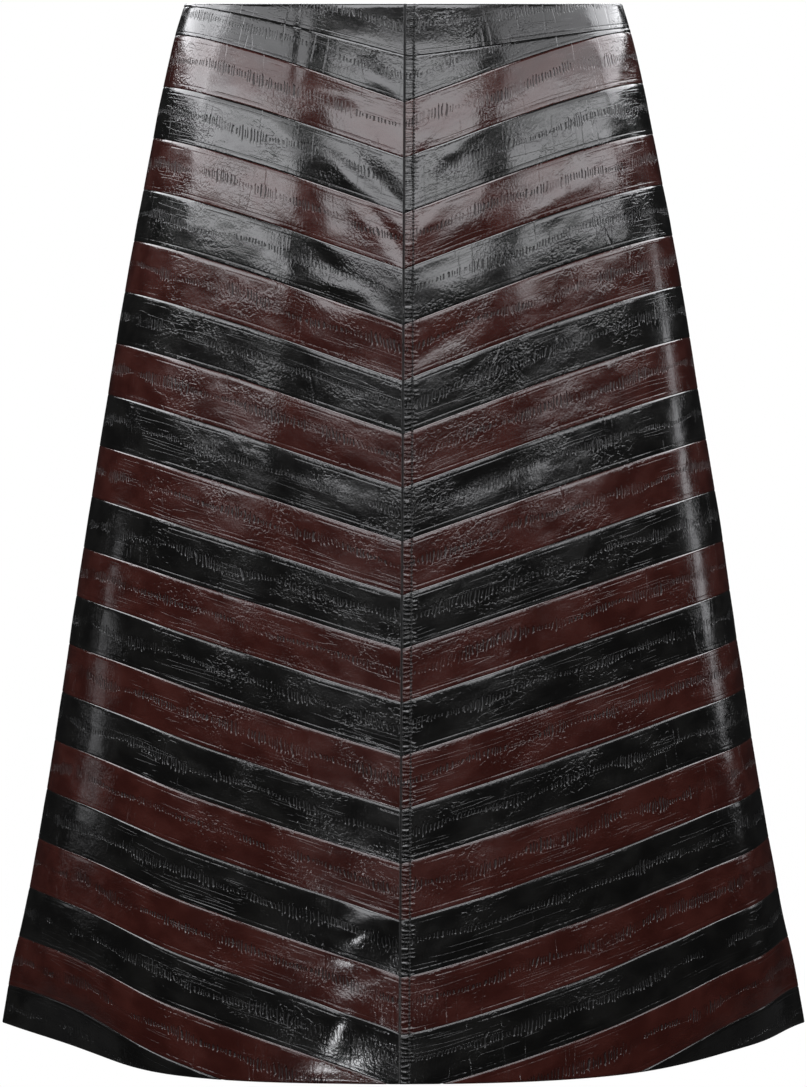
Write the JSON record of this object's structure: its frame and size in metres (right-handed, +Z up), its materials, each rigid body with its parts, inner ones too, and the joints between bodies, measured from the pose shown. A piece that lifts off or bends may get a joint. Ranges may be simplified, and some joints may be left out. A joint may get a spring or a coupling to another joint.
{
  "type": "leather skirt",
  "caption": "A-line leather skirt in its worn, hollow form, pieced from slanting strips in two colours that meet in chevrons, with a concealed zip at the centre back.",
  "frame": {"origin": "centre of the waist opening, at the height of its folded edge", "axes": "+Z up along the skirt, -Y out of the centre front, +X to the right as seen from the front"},
  "size_m": [0.5408, 0.407, 0.684],
  "materials": {
    "black_leather": "glossy black leather with a fine crinkle and a wrinkled line along each strip",
    "oxblood_leather": "glossy dark oxblood leather with a fine crinkle and a wrinkled line along each strip",
    "zip_tape": "matt black woven zip tape with a nylon coil",
    "zip_metal": "black enamelled zip slider and pull tab"
  },
  "bodies": {
    "skirt": {"left_band_01": "black_leather", "left_band_02": "black_leather", "left_band_03": "oxblood_leather", "left_band_04": "black_leather", "left_band_05": "oxblood_leather", "left_band_06": "black_leather", "left_band_07": "oxblood_leather", "left_band_08": "black_leather", "left_band_09": "oxblood_leather", "left_band_10": "black_leather", "left_band_11": "oxblood_leather", "left_band_12": "black_leather", "left_band_13": "oxblood_leather", "left_band_14": "black_leather", "left_band_15": "oxblood_leather", "left_band_16": "black_leather", "left_band_17_front": "oxblood_leather", "left_band_17_back": "oxblood_leather", "left_band_18_front": "black_leather", "left_band_18_back": "black_leather", "left_band_19_front": "oxblood_leather", "left_band_19_back": "oxblood_leather", "left_band_20_front": "black_leather", "left_band_20_back": "black_leather", "left_band_21_front": "oxblood_leather", "left_band_21_back": "oxblood_leather", "left_band_22_front": "black_leather", "left_band_22_back": "black_leather", "right_band_01": "black_leather", "right_band_02": "black_leather", "right_band_03": "oxblood_leather", "right_band_04": "black_leather", "right_band_05": "oxblood_leather", "right_band_06": "black_leather", "right_band_07": "oxblood_leather", "right_band_08": "black_leather", "right_band_09": "oxblood_leather", "right_band_10": "black_leather", "right_band_11": "oxblood_leather", "right_band_12": "black_leather", "right_band_13": "oxblood_leather", "right_band_14": "black_leather", "right_band_15": "oxblood_leather", "right_band_16": "black_leather", "right_band_17_front": "oxblood_leather", "right_band_17_back": "oxblood_leather", "right_band_18_front": "black_leather", "right_band_18_back": "black_leather", "right_band_19_front": "oxblood_leather", "right_band_19_back": "oxblood_leather", "right_band_20_front": "black_leather", "right_band_20_back": "black_leather", "right_band_21_front": "oxblood_leather", "right_band_21_back": "oxblood_leather", "right_band_22_front": "black_leather", "right_band_22_back": "black_leather", "zip_tape": "zip_tape", "zip_slider": "zip_metal"},
    "pull_tab": {"zip_pull_tab": "zip_metal"}
  },
  "joints": [
    {"name": "pull_tab_hinge", "type": "hinge", "parent": "skirt", "child": "pull_tab", "pos_m": [0, 0.09735, -0.00933], "axis": [1, 0, 0], "range_deg": [0, 170]}
  ]
}
